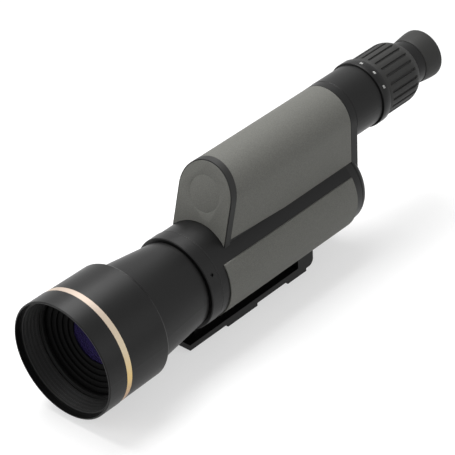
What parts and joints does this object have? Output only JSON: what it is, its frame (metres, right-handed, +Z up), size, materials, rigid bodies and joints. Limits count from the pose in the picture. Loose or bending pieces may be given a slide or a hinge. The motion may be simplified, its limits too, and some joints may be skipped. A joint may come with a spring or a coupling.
{
  "type": "spotting scope",
  "caption": "Straight spotting scope with a mirror-folded body, flared objective bell, zoom eyepiece, twist-up eyecup, rear focus knob and tripod foot.",
  "frame": {"origin": "mouth of the tripod thread, on the underside of the foot", "axes": "+Z up, -Y towards the scene through the objective, +Y towards the eye, +X to the observer's right"},
  "size_m": [0.089, 0.394, 0.1307],
  "materials": {
    "black_anodised": "satin black anodised aluminium",
    "gold_ring": "pale gold anodised aluminium",
    "matte_black": "flat black inside finish",
    "coated_glass": "coated optical glass",
    "mirror_glass": "front-surface mirror",
    "black_trim": "fine-grained black nylon",
    "gray_armor": "grey grained elastomer",
    "black_rubber": "dark matte rubber",
    "plain_metal": "plain turned metal",
    "dark_screws": "blackened steel",
    "bronze": "turned bronze",
    "white_print": "white filled marks"
  },
  "bodies": {
    "housing": {"objective_bell": "black_anodised", "trim_ring": "gold_ring", "hood_liner": "matte_black", "objective_cell": "matte_black", "crown_lens": "coated_glass", "lens_spacer": "plain_metal", "flint_lens": "coated_glass", "lens_retainer": "matte_black", "cell_o_ring": "black_rubber", "objective_barrel": "black_anodised", "barrel_baffles": "matte_black", "collar_ring": "black_anodised", "collar_screws": "dark_screws", "main_housing": "black_anodised", "front_frame": "black_trim", "front_panel": "gray_armor", "hump_armor": "gray_armor", "lower_armor": "gray_armor", "rear_cover": "black_anodised", "rear_gasket": "black_rubber", "cover_screws": "dark_screws", "mount_foot": "black_anodised", "foot_screws": "dark_screws", "thread_insert": "plain_metal", "front_mirror": "mirror_glass", "front_mirror_holder": "matte_black", "mirror_screws": "dark_screws", "guide_rods": "plain_metal", "focus_bushing": "bronze", "eyepiece_tube": "black_anodised", "eyepiece_nut": "matte_black", "eyepiece_o_ring": "black_rubber", "relay_tube": "matte_black", "field_stop": "matte_black", "field_lens": "coated_glass", "lens_tube": "matte_black", "eye_lens": "coated_glass", "eye_lens_retainer": "matte_black"},
    "focus": {"focus_screw": "plain_metal", "focus_knob": "black_anodised", "knob_grip": "black_rubber", "knob_bolt": "dark_screws"},
    "carriage": {"mirror_carriage": "matte_black", "rear_mirror": "mirror_glass", "mirror_clips": "plain_metal"},
    "zoom": {"zoom_ring": "black_anodised", "zoom_grip": "black_rubber", "zoom_marks": "white_print", "drive_screw": "dark_screws", "cam_sleeve": "plain_metal"},
    "front_erector": {"front_cell": "matte_black", "front_cell_lens": "coated_glass"},
    "rear_erector": {"rear_cell": "matte_black", "rear_cell_lens": "coated_glass"},
    "eyecup_turn": {"eyecup_guide_ring": "matte_black"},
    "eyecup": {"eyecup_sleeve": "black_anodised", "eyecup_rubber": "black_rubber"}
  },
  "joints": [
    {"name": "focus_turn", "type": "hinge", "parent": "housing", "child": "focus", "pos_m": [0, 0.13, 0.0496], "axis": [0, 1, 0], "range_deg": [-541, 541]},
    {"name": "mirror_slide", "type": "slide", "parent": "housing", "child": "carriage", "axis": [0, 1, 0], "range_m": [-0.006, 0.006]},
    {"name": "zoom_turn", "type": "hinge", "parent": "housing", "child": "zoom", "pos_m": [0, 0.16, 0.1049], "axis": [0, 1, 0], "range_deg": [-56, 0]},
    {"name": "front_erector_slide", "type": "slide", "parent": "housing", "child": "front_erector", "axis": [0, 1, 0], "range_m": [-0.00001, 0.01201]},
    {"name": "rear_erector_slide", "type": "slide", "parent": "housing", "child": "rear_erector", "axis": [0, 1, 0], "range_m": [-0.00701, 0.00001]},
    {"name": "eyecup_turn_joint", "type": "hinge", "parent": "housing", "child": "eyecup_turn", "pos_m": [0, 0.2, 0.1049], "axis": [0, 1, 0], "range_deg": [-0.5, 120.5]},
    {"name": "eyecup_slide", "type": "slide", "parent": "eyecup_turn", "child": "eyecup", "axis": [0, 1, 0], "range_m": [-0.006, 0]}
  ],
  "couplings": [
    {"joint": "focus_turn", "follows": "mirror_slide", "rad_per_m": 1570.8},
    {"joint": "front_erector_slide", "follows": "zoom_turn", "m_per_rad": -0.012278},
    {"joint": "rear_erector_slide", "follows": "zoom_turn", "m_per_rad": 0.007162},
    {"joint": "eyecup_turn_joint", "follows": "eyecup_slide", "rad_per_m": -349.07}
  ]
}
